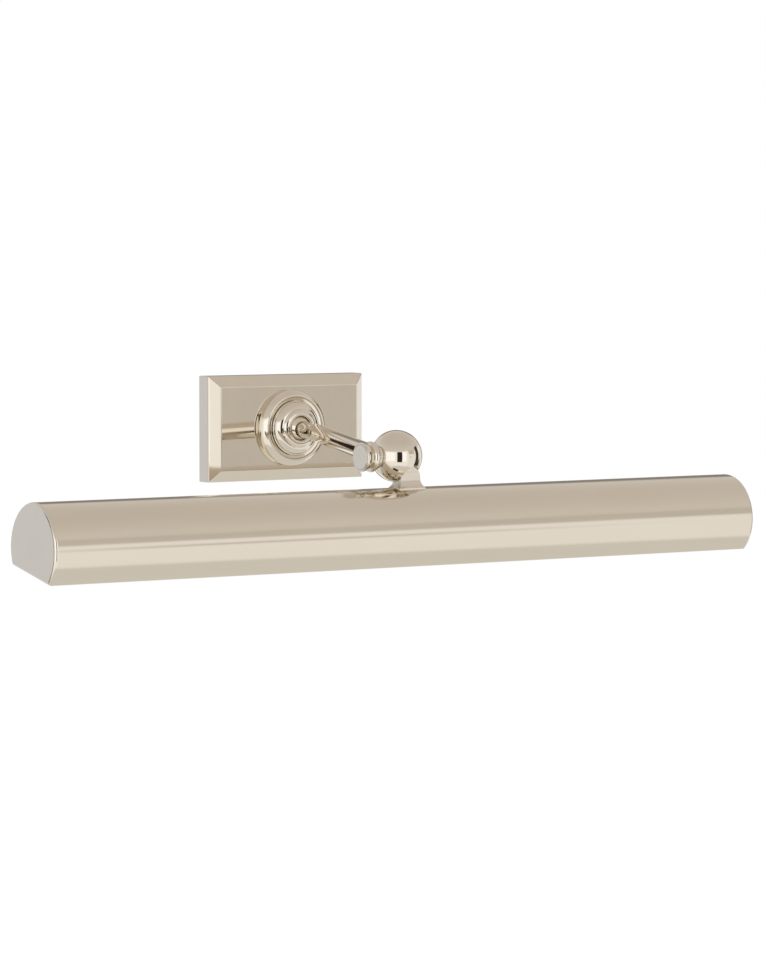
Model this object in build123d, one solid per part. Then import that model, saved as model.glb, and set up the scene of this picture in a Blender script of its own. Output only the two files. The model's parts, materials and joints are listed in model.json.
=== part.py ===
from build123d import *
import math
import os

# Wall picture light: a rectangular backplate with a turned rosette, a tilting arm, a side
# knuckle with a ball, and a long half-round shade that carries two tubular lamps.
# Units are millimetres. The origin is the centre of the backplate on the wall plane.
# +X runs along the shade, +Z is up, and the light stands off the wall towards -Y.
# Distances off the wall are called "out" below, so a point at out = 20 has y = -20.

# ---- driving dimensions ----
PLATE_WIDTH, PLATE_HEIGHT = 138.0, 80.0
PLATE_SIDE = 13.7                 # depth of the straight side wall
PLATE_RISE = 4.8                  # rise of the bevelled frame above the side wall
BEVEL_WIDTH = 8.3
PLATE_WALL = 1.6
BOX_SCREW_SPACING = 83.3          # screw spacing of a single wall box
STRAP_THICKNESS = 2.0
STRAP_CLEAR = 0.4                 # play between the strap's tabs and the backplate

RING_RADIUS = 29.0
DOME_RADIUS = 20.3
MOUTH_RADIUS = 9.6                # opening that the arm's stem comes out of
MOUTH_OUT = 35.0
SWIVEL_OUT = 27.0                 # centre of the wall swivel
SWIVEL_RADIUS = 11.0
SWIVEL_GAP = 0.3
SOCKET_RADIUS = 15.0

STEM_RADIUS = 6.4
TUBE_RADIUS = 6.6
TUBE_WALL = 1.5
ELBOW = Vector(0, -55.5, -2.4)    # where the stem meets the arm tube
BALL_CENTRE = Vector(0, -163.7, -15.2)
BALL_RADIUS = 19.0
TUBE_END = BALL_CENTRE + Vector(-25.4, 0, 3.6)

BARREL_LEFT, BARREL_RIGHT = -31.4, -18.1     # ends of the knuckle barrel, from the ball's centre
SEAT_X = -17.2                    # flat on the ball that faces the barrel
WASHER_GAP = 0.1
STUD_RADIUS = 5.0
STUD_BORE = 3.0
RUNNING_FIT = 0.05

SHADE_LENGTH = 609.6
SHADE_RADIUS = 32.5
SHADE_WALL = 1.2
CAP_THICKNESS = 3.2
CAP_WALL, CAP_ROUNDING = 1.2, 2.4
OPENING_HALF_ANGLE = 55.2         # half of the open part of the shade's circle
SHADE_TILT = 12.0                 # the opening is turned towards the wall by this much
BALL_BEHIND, BALL_ABOVE = 15.7, 53.3          # ball's centre from the shade's axis, in the shade

LUG_HALF_WIDTH, LUG_HALF_DEPTH = 8.5, 4.8
LUG_X, LUG_Y = 5.4, -1.6          # centre of the lug from the shade's axis
LUG_TOP = 48.3                    # height of the lug above the shade's axis
LUG_FOOT_HALF_WIDTH, LUG_FOOT_HALF_DEPTH = 11.2, 7.6
LUG_SCREW_X = 6.5                 # lug screws, each side of the lug's centre
POCKET_GAP = 0.3                  # open line round the lug where it enters the ball

TRAY_BOTTOM, TRAY_THICKNESS = 26.0, 1.0
TRAY_HALF_WIDTH, TRAY_HALF_LENGTH = 12.0, 297.5
TRAY_SCREW_X = (-85.0, 85.0)
LEAD_RADIUS = 1.3
LEAD_GAP = 0.7                    # the lead is parted at each pivot so that its halves can turn
LEAD_Y, LEAD_Z = -5.5, 28.6       # run of the lamp leads above the tray

LAMP_RADIUS, LAMP_Z = 16.0, 8.0
HOLDER_RADIUS = 17.0
HOLDER_MOUTH, HOLDER_BACK = 246.0, 284.0
GLASS_WALL = 0.8

# ---- derived values ----
FACE_OUT = PLATE_SIDE + PLATE_RISE
SHADE_INNER = SHADE_RADIUS - SHADE_WALL
TRAY_TOP = TRAY_BOTTOM + TRAY_THICKNESS
SHADE_ROTATION = Rot(SHADE_TILT, 0, 0)
BALL_IN_SHADE = Vector(0, BALL_BEHIND, BALL_ABOVE)
SHADE_PLACE = Pos(*BALL_CENTRE) * SHADE_ROTATION * Pos(*(-BALL_IN_SHADE))
LUG_PLACE = SHADE_PLACE * Rot(-SHADE_TILT, 0, 0) * Pos(LUG_X, LUG_Y, 0)
SWIVEL_CENTRE = Vector(0, -SWIVEL_OUT, 0)
TUBE_DIRECTION = (TUBE_END - ELBOW).normalized()
STEM_DIRECTION = (ELBOW - SWIVEL_CENTRE).normalized()
OUTWARD = Vector(0, -1, 0)
ALONG_X = Vector(1, 0, 0)


# ---- shared helpers ----
def outline(start, *steps):
    """Closed face from a start point. A step is an end point, or a pair (point on an arc, end)."""
    edges, here = [], start
    for step in (*steps, start):
        if isinstance(step[0], tuple):
            edges.append(ThreePointArc(here, step[0], step[1]))
            here = step[1]
        elif math.dist(here, step) > 1e-6:
            edges.append(Line(here, step))
            here = step
    return make_face(Curve() + edges)


def turned(face, origin=Vector(0, 0, 0), direction=OUTWARD):
    """Revolve a face drawn as (radius, distance along the axis) about an axis."""
    direction = Vector(direction).normalized()
    helper = Vector(0, 0, 1) if abs(direction.Z) < 0.9 else Vector(1, 0, 0)
    radial = direction.cross(helper).normalized()
    plane = Plane(origin=origin, x_dir=radial, z_dir=radial.cross(direction))
    return revolve(plane * face, Axis(origin, direction))


def rod(start, end, radius):
    """Solid round bar between two points."""
    start, end = Vector(start), Vector(end)
    length = (end - start).length
    plane = Plane(origin=start, z_dir=(end - start).normalized())
    return plane * Cylinder(radius, length, align=(Align.CENTER, Align.CENTER, Align.MIN))


def block(low, high):
    """Box from its lowest to its highest corner."""
    size = [b - a for a, b in zip(low, high)]
    return Pos(*low) * Box(*size, align=(Align.MIN, Align.MIN, Align.MIN))


def pipe(points, bends, radius):
    """Round bar along straight runs joined by tangent arcs, one bend radius for each corner."""
    path = FilletPolyline(*points, radius=bends)
    section = Plane(origin=path @ 0, z_dir=path % 0) * Circle(radius)
    return sweep(section, path=path)


def screw(origin, direction, shank, head, head_height, length):
    """Pan-head screw: origin under the head, direction from the head into the work."""
    origin, direction = Vector(origin), Vector(direction).normalized()
    dish = head * 0.25
    profile = outline(
        (0, length), (shank * 0.7, length), (shank, length - shank * 0.5), (shank, 0), (head, 0),
        (head, -head_height + dish), ((head - dish * 0.3, -head_height + dish * 0.3),
                                      (head - dish, -head_height)), (0, -head_height))
    slot = Plane(origin=origin - direction * head_height, z_dir=direction) * Pos(0, 0, 0.4) * Box(
        head * 1.5, head * 0.22, 1.0)
    return turned(profile, origin, direction) - slot


def in_shade(shape):
    """Place a shape drawn in the shade's own frame, whose origin is on the shade's axis."""
    return SHADE_PLACE * shape


def at_lug(shape):
    """Place a shape drawn upright at the lug, whose heights count from the shade's axis."""
    return LUG_PLACE * shape


def lug_axis_point(height):
    """Point on the lug's upright centre line, in the shade's frame."""
    return (Rot(-SHADE_TILT, 0, 0) * Pos(LUG_X, LUG_Y, height)).position


def mirrored(shape):
    return mirror(shape, about=Plane.YZ)


# ---- wall side ----
def tapered_block(half_width, half_height, out_low, out_high, inset):
    """Block whose front face is smaller than its back face by the inset all round."""
    back = Plane.XZ.offset(out_low) * Rectangle(2 * half_width, 2 * half_height)
    front = Plane.XZ.offset(out_high) * Rectangle(2 * (half_width - inset), 2 * (half_height - inset))
    return loft([back.face(), front.face()])


def make_backplate():
    half_width, half_height = PLATE_WIDTH / 2, PLATE_HEIGHT / 2
    ledge = 0.9
    body = block((-half_width, -PLATE_SIDE, -half_height), (half_width, 0, half_height))
    body = chamfer(body.faces().sort_by(Axis.Y)[0].edges(), 0.35)
    body += tapered_block(half_width - ledge, half_height - ledge, PLATE_SIDE, FACE_OUT, BEVEL_WIDTH - ledge)
    inner_width, inner_height = half_width - PLATE_WALL, half_height - PLATE_WALL
    hollow = block((-inner_width, -PLATE_SIDE + PLATE_WALL, -inner_height), (inner_width, 0, inner_height))
    hollow += tapered_block(inner_width - BEVEL_WIDTH * 0.6, inner_height - BEVEL_WIDTH * 0.6,
                            PLATE_SIDE - PLATE_WALL, FACE_OUT - PLATE_WALL, BEVEL_WIDTH * 0.5)
    body -= hollow
    body -= rod((0, 0, 0), (0, -FACE_OUT - 1, 0), SOCKET_RADIUS + 0.2)
    for side in (-1, 1):
        body -= rod((0, -PLATE_SIDE * 0.45, side * (half_height - 4)),
                    (0, -PLATE_SIDE * 0.45, side * (half_height + 1)), 2.05)
    return body


def strap_tab_height():
    return PLATE_HEIGHT / 2 - PLATE_WALL - STRAP_CLEAR


def make_mounting_strap():
    reach = strap_tab_height()
    bar_half_length, bar_half_height, post_half = 52.0, 9.5, 8.0
    strap = block((-bar_half_length, -STRAP_THICKNESS, -bar_half_height),
                  (bar_half_length, 0, bar_half_height))
    strap = fillet(strap.edges().filter_by(Axis.Y), 4.0)
    strap += block((-post_half, -STRAP_THICKNESS, -reach), (post_half, 0, reach))
    slot = SlotOverall(10.0, 4.8)
    for side in (-1, 1):
        tab = block((-post_half, -10.5, -STRAP_THICKNESS), (post_half, 0, 0))
        strap += Pos(0, 0, reach if side > 0 else -reach + STRAP_THICKNESS) * tab
        strap -= rod((0, -PLATE_SIDE * 0.45, side * (reach - 3)),
                     (0, -PLATE_SIDE * 0.45, side * (reach + 1)), 1.65)
        strap -= Pos(side * BOX_SCREW_SPACING / 2, 0, 0) * extrude(Plane.XZ * slot, STRAP_THICKNESS, both=True)
    strap -= rod((0, 1, 0), (0, -STRAP_THICKNESS - 1, 0), 6.0)
    strap -= rod((-18, 1, 0), (-18, -STRAP_THICKNESS - 1, 0), 1.7)
    return strap


def make_strap_bushing():
    groove = STRAP_THICKNESS
    profile = outline((2.2, -0.0), (5.9, 0.0), (5.9, groove), (7.4, groove), ((7.6, groove + 0.8),
                      (6.6, groove + 1.6)), (2.8, groove + 1.6), (2.2, groove + 1.0))
    return turned(profile)


def make_ground_screw():
    return (screw((-18, -STRAP_THICKNESS - 1.0, 0), (0, 1, 0), 1.7, 3.6, 2.2, STRAP_THICKNESS + 1.0)
            + rod((-18, -STRAP_THICKNESS - 1.0, 0), (-18, -STRAP_THICKNESS, 0), 4.4))


def make_plate_screws():
    """Two flush set screws that hold the backplate to the strap's bent tabs."""
    screws = []
    for side in (-1, 1):
        top = side * (PLATE_HEIGHT / 2 - 0.15)
        inner = side * (strap_tab_height() - STRAP_THICKNESS - 0.8)
        body = rod((0, -PLATE_SIDE * 0.45, inner), (0, -PLATE_SIDE * 0.45, top), 1.6)
        body += rod((0, -PLATE_SIDE * 0.45, side * (PLATE_HEIGHT / 2 - PLATE_WALL + 0.15)),
                    (0, -PLATE_SIDE * 0.45, top), 1.95)
        body -= Pos(0, -PLATE_SIDE * 0.45, top) * Box(3.0, 0.5, 1.2)
        screws.append(body)
    return Compound(children=screws)


def make_rosette_ring():
    profile = outline(
        (SOCKET_RADIUS + 0.1, FACE_OUT), (RING_RADIUS, FACE_OUT), (RING_RADIUS, 20.0),
        ((28.1, 24.4), (25.7, 27.0)), ((24.6, 27.5), (23.5, 27.2)), (23.1, 26.4), (21.0, 26.0),
        (21.0, 20.5), (SOCKET_RADIUS + 0.1, 20.5))
    return turned(profile)


def make_rosette_dome():
    inner = SWIVEL_RADIUS + SWIVEL_GAP
    lip_out, seat_out = 33.6, 30.0
    lip_radius = math.sqrt(inner ** 2 - (lip_out - SWIVEL_OUT) ** 2)
    mid_out = (lip_out + seat_out) / 2
    mid_radius = math.sqrt(inner ** 2 - (mid_out - SWIVEL_OUT) ** 2)
    seat_radius = math.sqrt(inner ** 2 - (seat_out - SWIVEL_OUT) ** 2)
    profile = outline(
        (SOCKET_RADIUS + 0.05, 20.5), (20.7, 20.5), (20.7, 26.9), (DOME_RADIUS, 27.9),
        ((18.4, 30.9), (14.4, 32.5)), (14.0, 33.1), ((12.5, 34.7), (10.4, 35.25)),
        (MOUTH_RADIUS, MOUTH_OUT), (lip_radius, lip_out), ((mid_radius, mid_out), (seat_radius, seat_out)),
        (SOCKET_RADIUS + 0.05, seat_out))
    return turned(profile)


def make_swivel_socket():
    bore = SWIVEL_RADIUS + SWIVEL_GAP
    profile = outline(
        (3.2, 11.5), (12.0, 11.5), (SOCKET_RADIUS, 13.0), (SOCKET_RADIUS, 14.9), (19.0, 14.9),
        (19.0, FACE_OUT - PLATE_WALL), (SOCKET_RADIUS, FACE_OUT - PLATE_WALL),
        (SOCKET_RADIUS, 29.9), (bore, 29.9), (bore, 14.8), (3.2, 14.8))
    socket = turned(profile)
    for side in (-1, 1):
        socket -= rod((side * 10, -SWIVEL_OUT, 0), (side * 16, -SWIVEL_OUT, 0), 1.5)
    return socket


def make_seat_spring():
    """Wavy ring that presses the nylon seat against the swivel ball."""
    ring = turned(outline((7.0, 14.9), (10.8, 14.9), (10.8, 16.1), (7.0, 16.1)))
    for index in range(3):
        angle = index * 120
        ring -= Rot(0, angle, 0) * block((-2.5, -16.2, 0), (2.5, -15.6, 12))
        ring -= Rot(0, angle + 60, 0) * block((-2.5, -15.3, 0), (2.5, -14.8, 12))
    return ring


def make_ball_seat():
    inner = SWIVEL_RADIUS + SWIVEL_GAP
    radii = [math.sqrt(inner ** 2 - (SWIVEL_OUT - out) ** 2) for out in (21.5, 19.4)]
    back = SWIVEL_OUT - math.sqrt(inner ** 2 - 6.0 ** 2)
    profile = outline((6.0, 16.2), (11.2, 16.2), (11.2, 21.5), (radii[0], 21.5),
                      ((radii[1], 19.4), (6.0, back)))
    return turned(profile)


def make_swivel_pins():
    pins = [rod((side * 7.4, -SWIVEL_OUT, 0), (side * 14.6, -SWIVEL_OUT, 0), 1.5) for side in (-1, 1)]
    return Compound(children=pins)


def make_supply_lead():
    return rod((0, -0.5, 0), (0, -SWIVEL_OUT + LEAD_GAP, 0), LEAD_RADIUS)


# ---- arm ----
def make_swivel_ball():
    """Ball and stem in one turned piece, bored for the lead."""
    stem_start = math.sqrt(SWIVEL_RADIUS ** 2 - STEM_RADIUS ** 2)
    stem_end = (ELBOW - SWIVEL_CENTRE).length
    ball = Pos(*SWIVEL_CENTRE) * Sphere(SWIVEL_RADIUS)
    stem = turned(outline((0, stem_start - 1), (STEM_RADIUS, stem_start - 1), (STEM_RADIUS, 14.0),
                          ((5.9, 17.5), (5.6, stem_end)), (0, stem_end)), SWIVEL_CENTRE, STEM_DIRECTION)
    flare = turned(outline((0, -12), (6.0, -12), (1.9, 0), (0, 0)), SWIVEL_CENTRE, STEM_DIRECTION)
    body = ball + stem - flare - rod(SWIVEL_CENTRE - STEM_DIRECTION, ELBOW + STEM_DIRECTION * 2, 1.9)
    for side in (-1, 1):
        body -= rod((side * 7.0, -SWIVEL_OUT, 0), (side * 12, -SWIVEL_OUT, 0), 1.5 + RUNNING_FIT)
    return body - arm_end_outer()


def arm_end_outer():
    """Round end of the arm, before it is hollowed."""
    return Pos(*ELBOW) * Sphere(TUBE_RADIUS) + rod(ELBOW, ELBOW + TUBE_DIRECTION * 6, TUBE_RADIUS)


def make_arm_end():
    inner = TUBE_RADIUS - TUBE_WALL
    body = arm_end_outer() + rod(ELBOW + TUBE_DIRECTION * 6, ELBOW + TUBE_DIRECTION * 12, inner - 0.02)
    body -= rod(ELBOW, ELBOW + TUBE_DIRECTION * 13, 3.2) + Pos(*ELBOW) * Sphere(3.4)
    return body - rod(ELBOW - STEM_DIRECTION * 8, ELBOW, 2.4)


def barrel_point(x):
    return Vector(BALL_CENTRE.X + x, BALL_CENTRE.Y, BALL_CENTRE.Z)


def barrel_profile():
    left, right = BARREL_LEFT, BARREL_RIGHT
    return outline(
        (0, left), (9.8, left), ((10.5, left + 0.4), (10.7, left + 1.2)), ((10.2, left + 3.2), (8.9, left + 5.9)),
        (8.9, left + 6.4), ((11.2, -22.5), (8.9, -20.0)), (8.9, -19.7), ((9.5, -18.95), (8.9, -18.3)),
        (8.4, right), (0, right))


def make_arm_tube():
    start = ELBOW + TUBE_DIRECTION * 6
    end = TUBE_END + TUBE_DIRECTION * 10
    tube = rod(start, end, TUBE_RADIUS) - rod(start, end, TUBE_RADIUS - TUBE_WALL)
    front = BALL_CENTRE.Y
    tube -= block((-60, front - 40, -60), (20, front, 40))
    tube -= turned(barrel_profile(), BALL_CENTRE, ALONG_X)
    tube -= rod(barrel_point(BARREL_LEFT - 4), barrel_point(BARREL_RIGHT + 6), 8.9)
    return tube - Pos(*BALL_CENTRE) * Sphere(BALL_RADIUS + 0.45)


def arm_lead_route():
    lead_in = TUBE_END - TUBE_DIRECTION * 24
    inlet = Vector(-25.9, BALL_CENTRE.Y + 12.5, BALL_CENTRE.Z + 3.4)
    corner = barrel_point(-28.2)
    return [SWIVEL_CENTRE + STEM_DIRECTION * LEAD_GAP, ELBOW, lead_in, inlet, corner, barrel_point(-12)]


def make_arm_lead():
    return pipe(arm_lead_route(), [20, 15, 8, 3.6], LEAD_RADIUS)


def make_knuckle_barrel():
    barrel = turned(barrel_profile(), BALL_CENTRE, ALONG_X)
    barrel -= rod(barrel_point(BARREL_LEFT - 1), barrel_point(BARREL_LEFT + 1.5), 9.2)
    barrel -= rod(barrel_point(BARREL_LEFT), barrel_point(-21.2), 7.1)
    barrel -= rod(barrel_point(-22), barrel_point(BARREL_RIGHT + 1), STUD_RADIUS + RUNNING_FIT)
    route = arm_lead_route()
    inlet, corner = route[3], route[4]
    return barrel - rod(inlet + (inlet - corner).normalized() * 4, corner, 2.0)


def make_barrel_cap():
    left = BARREL_LEFT
    profile = outline((0, left - 0.25), (8.6, left - 0.25), (9.2, left + 0.3), (9.2, left + 1.5),
                      (0, left + 1.5))
    return turned(profile, BALL_CENTRE, ALONG_X)


def make_spring_washer():
    """Dished washer that keeps the knuckle tight."""
    profile = outline((5.2, -22.2), (5.2, -22.6), (6.9, -21.9), (6.9, -21.25), (6.3, -21.25))
    return turned(profile, BALL_CENTRE, ALONG_X)


def make_friction_washer():
    profile = outline((5.2, BARREL_RIGHT), (8.1, BARREL_RIGHT), (8.1, SEAT_X - WASHER_GAP),
                      (5.2, SEAT_X - WASHER_GAP))
    return turned(profile, BALL_CENTRE, ALONG_X)


# ---- ball and saddle lug ----
def make_pivot_stud():
    profile = outline((STUD_BORE, -25.0), (STUD_RADIUS - 0.5, -25.0), (STUD_RADIUS, -24.5), (STUD_RADIUS, -5.5),
                      (STUD_RADIUS - 0.5, -5.0), (STUD_BORE, -5.0))
    return turned(profile, BALL_CENTRE, ALONG_X)


def make_stud_nut():
    nut = turned(outline((STUD_RADIUS, -24.7), (6.3, -24.7), (6.7, -24.3), (6.7, -22.7), (STUD_RADIUS, -22.7)),
                 BALL_CENTRE, ALONG_X)
    return nut - (Pos(*barrel_point(-24.7)) * Box(1.6, 2.0, 16))


def ball_lead_route():
    """From the stud's bore, through the ball and the lug, to the terminal block, in the shade's frame."""
    low = lug_axis_point(18.5)
    return [BALL_IN_SHADE + Vector(-12, 0, 0), BALL_IN_SHADE, lug_axis_point(42), low,
            Vector(23, low.Y, low.Z)]


def ball_lead_bore(radius):
    return in_shade(pipe(ball_lead_route(), [5.0, 10.0, 6.0], radius))


def lug_outline(half_width, foot_half_width, top, arc_z):
    """Round-topped or square-topped upright above a flared foot, drawn about a centre line."""
    foot_z, flare_z, root_z = 32.4, 38.4, 24.0
    flare = foot_half_width - half_width
    middle = (half_width + flare * 0.27, foot_z + (flare_z - foot_z) * 0.48)
    crown = ((0, top), (-half_width, arc_z)) if arc_z < top else (-half_width, top)
    return outline(
        (-foot_half_width, root_z), (foot_half_width, root_z), (foot_half_width, foot_z),
        (middle, (half_width, flare_z)), (half_width, arc_z), crown, (-half_width, flare_z),
        ((-middle[0], middle[1]), (-foot_half_width, foot_z)))


def lug_blank(gap=0.0, ahead=0.0):
    """The lug before it is fitted to the shade. A gap widens it, and it can be carried on ahead."""
    half, foot, top = LUG_HALF_WIDTH + gap, LUG_FOOT_HALF_WIDTH + gap, LUG_TOP + gap
    front = lug_outline(half, foot, top, top - half)
    side = lug_outline(LUG_HALF_DEPTH, LUG_FOOT_HALF_DEPTH, top + 1, top + 1)
    if ahead:
        side += Pos(-ahead / 2, 40) * Rectangle(ahead, 60)
    depth = LUG_FOOT_HALF_DEPTH + ahead
    return at_lug(extrude(Plane.XZ * front, depth, both=True) & extrude(Plane.YZ * side, foot, both=True))


def lug_screw_holes(radius, low, high):
    return [at_lug(rod((side * LUG_SCREW_X, 0, low), (side * LUG_SCREW_X, 0, high), radius)) for side in (-1, 1)]


def make_saddle_lug():
    lug = lug_blank() - in_shade(rod((-40, 0, 0), (40, 0, 0), SHADE_RADIUS)) - ball_lead_bore(2.1)
    for hole in lug_screw_holes(1.6, 28, 39):
        lug -= hole
    return lug


def make_shade_ball():
    ball = Pos(*BALL_CENTRE) * Sphere(BALL_RADIUS)
    ball -= rod(barrel_point(SEAT_X - 5), barrel_point(SEAT_X), BALL_RADIUS)
    ball -= rod(barrel_point(SEAT_X - 1), barrel_point(-5), STUD_RADIUS)
    return ball - ball_lead_bore(2.1) - lug_blank(POCKET_GAP, 30)


def make_lug_screws():
    under = 30.2
    screws = [screw((side * LUG_SCREW_X, 0, under), (0, 0, 1), 1.6, 2.8, 1.6, 38.4 - under) for side in (-1, 1)]
    washers = [rod((side * LUG_SCREW_X, 0, under), (side * LUG_SCREW_X, 0, 31.5), 1.6) for side in (-1, 1)]
    return Compound(children=[at_lug(item + washer) for item, washer in zip(screws, washers)])


def make_ball_lead():
    return ball_lead_bore(LEAD_RADIUS)


# ---- shade ----
def shade_section(outer, inner):
    """Part of a ring, open at the bottom."""
    ring = Circle(outer) - Circle(inner) if inner else Circle(outer)
    half = math.radians(OPENING_HALF_ANGLE)
    reach = outer * 3
    corner = (reach * math.sin(half), -reach * math.cos(half))
    wedge = outline((0, 0), (-corner[0], corner[1]), (0, -reach * 2), corner)
    return ring - wedge


def cap_section(radius):
    """Circle cut off flat along the shade's open side."""
    chord = -radius * math.cos(math.radians(OPENING_HALF_ANGLE))
    return Circle(radius) - Pos(0, chord - radius) * Rectangle(4 * radius, 2 * radius)


def make_shade_shell():
    half = SHADE_LENGTH / 2 - CAP_THICKNESS
    shell = extrude(Plane.YZ * shade_section(SHADE_RADIUS, SHADE_INNER), half, both=True)
    shell = in_shade(shell)
    for hole in lug_screw_holes(1.7, 27, 36):
        shell -= hole
    return shell - at_lug(rod((0, 0, 27), (0, 0, 36), 3.0))


def make_end_cap_right():
    """Pressed end with a rounded rim, hollow behind."""
    inner = SHADE_LENGTH / 2 - CAP_THICKNESS
    cap = extrude(Plane.YZ.offset(inner) * cap_section(SHADE_RADIUS), CAP_THICKNESS)
    cap = fillet(cap.faces().sort_by(Axis.X)[-1].edges(), CAP_ROUNDING)
    hollow = cap_section(SHADE_RADIUS - 2 * CAP_WALL)
    return cap - extrude(Plane.YZ.offset(inner) * hollow, CAP_THICKNESS - CAP_WALL)


def make_wire_grommet():
    profile = outline((1.6, 29.6), (3.4, 29.6), (3.4, 30.6), (2.9, 30.8), (2.9, 31.9), (1.6, 31.9))
    return at_lug(turned(profile, Vector(0, 0, 0), Vector(0, 0, 1)))


def make_lamp_tray():
    """Sheet channel under the shade's roof that carries the lampholders and hides the leads."""
    half_l, half_w = TRAY_HALF_LENGTH, TRAY_HALF_WIDTH
    tray = block((-half_l, -half_w, TRAY_BOTTOM), (half_l, half_w, TRAY_TOP))
    for side in (-1, 1):
        edge = side * (half_w - TRAY_THICKNESS / 2)
        tray += Pos(0, edge, TRAY_TOP + 0.7) * Box(2 * half_l, TRAY_THICKNESS, 1.4)
        tray -= rod((side * 291, 0, 25), (side * 291, 0, 28), 2.1)
    tray -= block((50, LEAD_Y - 2.5, 25), (70, LEAD_Y + 2.5, 28))
    tray -= block((-50, LEAD_Y - 2.5, 25), (-30, LEAD_Y + 2.5, 28))
    for side in (-1, 1):
        tray -= Pos(side * half_l, LEAD_Y, TRAY_BOTTOM) * Box(16, 4, 4)
    tray -= rod((32, 4.5, 25), (32, 4.5, 28), 1.5)
    for x in TRAY_SCREW_X:
        tray -= rod((x, 0, 25), (x, 0, 28), 1.7)
    return in_shade(tray) - at_lug(rod((0, 0, 20), (0, 0, 29), 3.0))


def make_tray_bosses():
    """Threaded tubes brazed under the shade's roof, for the tray's screws."""
    roof = rod((-200, 0, 0), (200, 0, 0), SHADE_INNER)
    bosses = [rod((x, 0, TRAY_TOP), (x, 0, 32), 3.2) & roof for x in TRAY_SCREW_X]
    holes = [rod((x, 0, 26), (x, 0, 33), 1.6) for x in TRAY_SCREW_X]
    return Compound(children=[in_shade(boss - hole) for boss, hole in zip(bosses, holes)])


def make_tray_screws():
    screws = [screw((x, 0, TRAY_BOTTOM), (0, 0, 1), 1.6, 3.2, 1.9, 4.6) for x in TRAY_SCREW_X]
    return Compound(children=[in_shade(item) for item in screws])


def make_terminal_block():
    body = block((20, -10, 13), (44, 8, TRAY_BOTTOM))
    body = fillet(body.edges().filter_by(Axis.Z), 1.2)
    entry = ball_lead_route()[-1]
    body -= rod(entry - ALONG_X * 4, entry + ALONG_X, 1.35)
    for x in (20, 44):
        body -= rod((x - 4, LEAD_Y, 18), (x + 4, LEAD_Y, 18), 1.35)
    for x, y in terminal_places():
        body -= rod((x, y, 12), (x, y, 16), 1.8)
    return in_shade(body - rod((32, 4.5, 12), (32, 4.5, 27), 1.6) - rod((32, 4.5, 12), (32, 4.5, 15.2), 3.0))


def terminal_places():
    return [(x, y) for x in (26.5, 37.5) for y in (-5.5, 0.5)]


def make_terminal_screws():
    screws = [screw((x, y, 14.6), (0, 0, 1), 1.0, 1.7, 1.0, 1.4) for x, y in terminal_places()]
    return Compound(children=[in_shade(item) for item in screws])


def make_block_screw():
    return in_shade(screw((32, 4.5, 15.2), (0, 0, 1), 1.5, 2.8, 1.8, 13.0))


def lamp_lead_route(start_x, rise_x):
    """From the terminal block, up through the tray, along its top and down to the lampholder."""
    turn_x = 300.0
    return [Vector(start_x, LEAD_Y, 18), Vector(rise_x, LEAD_Y, 18), Vector(rise_x + 16, LEAD_Y, LEAD_Z),
            Vector(turn_x, LEAD_Y, LEAD_Z), Vector(turn_x, LEAD_Y, 12), Vector(HOLDER_BACK - 3, LEAD_Y, 12)]


def make_lamp_lead_right():
    return in_shade(pipe(lamp_lead_route(41, 52), [10, 10, 7, 7], LEAD_RADIUS))


def make_lamp_lead_left():
    route = [Vector(-point.X, point.Y, point.Z) for point in lamp_lead_route(-23, 32)]
    return in_shade(pipe(route, [10, 10, 7, 7], LEAD_RADIUS))


def make_lead_clips():
    clips = []
    for x in (-220, -110, 110, 220):
        clip = block((x - 3, LEAD_Y - 2.4, TRAY_TOP), (x + 3, LEAD_Y + 2.4, 30.1))
        clips.append(clip - rod((x - 4, LEAD_Y, LEAD_Z), (x + 4, LEAD_Y, LEAD_Z), LEAD_RADIUS + 0.05))
    return Compound(children=[in_shade(clip) for clip in clips])


# ---- lampholders and lamps, drawn for the right-hand end ----
def lamp_turned(face):
    return turned(face, Vector(0, 0, LAMP_Z), ALONG_X)


def holder_screw_heights():
    return (LAMP_Z - 9, LAMP_Z + 9)


def holder_bracket():
    plate = block((HOLDER_BACK, -11, -5), (HOLDER_BACK + 1.5, 11, TRAY_BOTTOM))
    foot = block((HOLDER_BACK + 1.5, -7, TRAY_BOTTOM - 1.5), (296, 7, TRAY_BOTTOM))
    bracket = plate + foot - rod((291, 0, 20), (291, 0, 28), 2.1)
    bracket -= rod((283, LEAD_Y, 12), (287, LEAD_Y, 12), 2.2)
    for z in holder_screw_heights():
        bracket -= rod((283, 0, z), (287, 0, z), 1.6)
    return bracket


def bracket_screw():
    return screw((291, 0, TRAY_BOTTOM - 1.5), (0, 0, 1), 2.0, 3.7, 2.2, 6.0)


def bracket_nut():
    nut = Pos(291, 0, TRAY_TOP) * extrude(RegularPolygon(3.7, 6), 2.4)
    return nut - rod((291, 0, 26), (291, 0, 31), 2.0)


def lampholder():
    mouth, back, radius = HOLDER_MOUTH, HOLDER_BACK, HOLDER_RADIUS
    profile = outline(
        (14.2, mouth), (radius - 1.2, mouth), (radius - 0.4, mouth + 0.6), (radius - 0.4, mouth + 7), (radius, mouth + 8),
        (radius, back - 9), (radius - 2.5, back - 5), (radius - 2.5, back), (0, back), (0, back - 6), (14.2, back - 6))
    holder = lamp_turned(profile) - rod((back - 4, LEAD_Y, 12), (back + 1, LEAD_Y, 12), 1.4)
    for z in holder_screw_heights():
        holder -= rod((back - 5, 0, z), (back + 1, 0, z), 1.5)
    return holder


def holder_screws():
    return [screw((HOLDER_BACK + 1.5, 0, z), (-1, 0, 0), 1.5, 2.7, 1.6, 6.0) for z in holder_screw_heights()]


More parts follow.
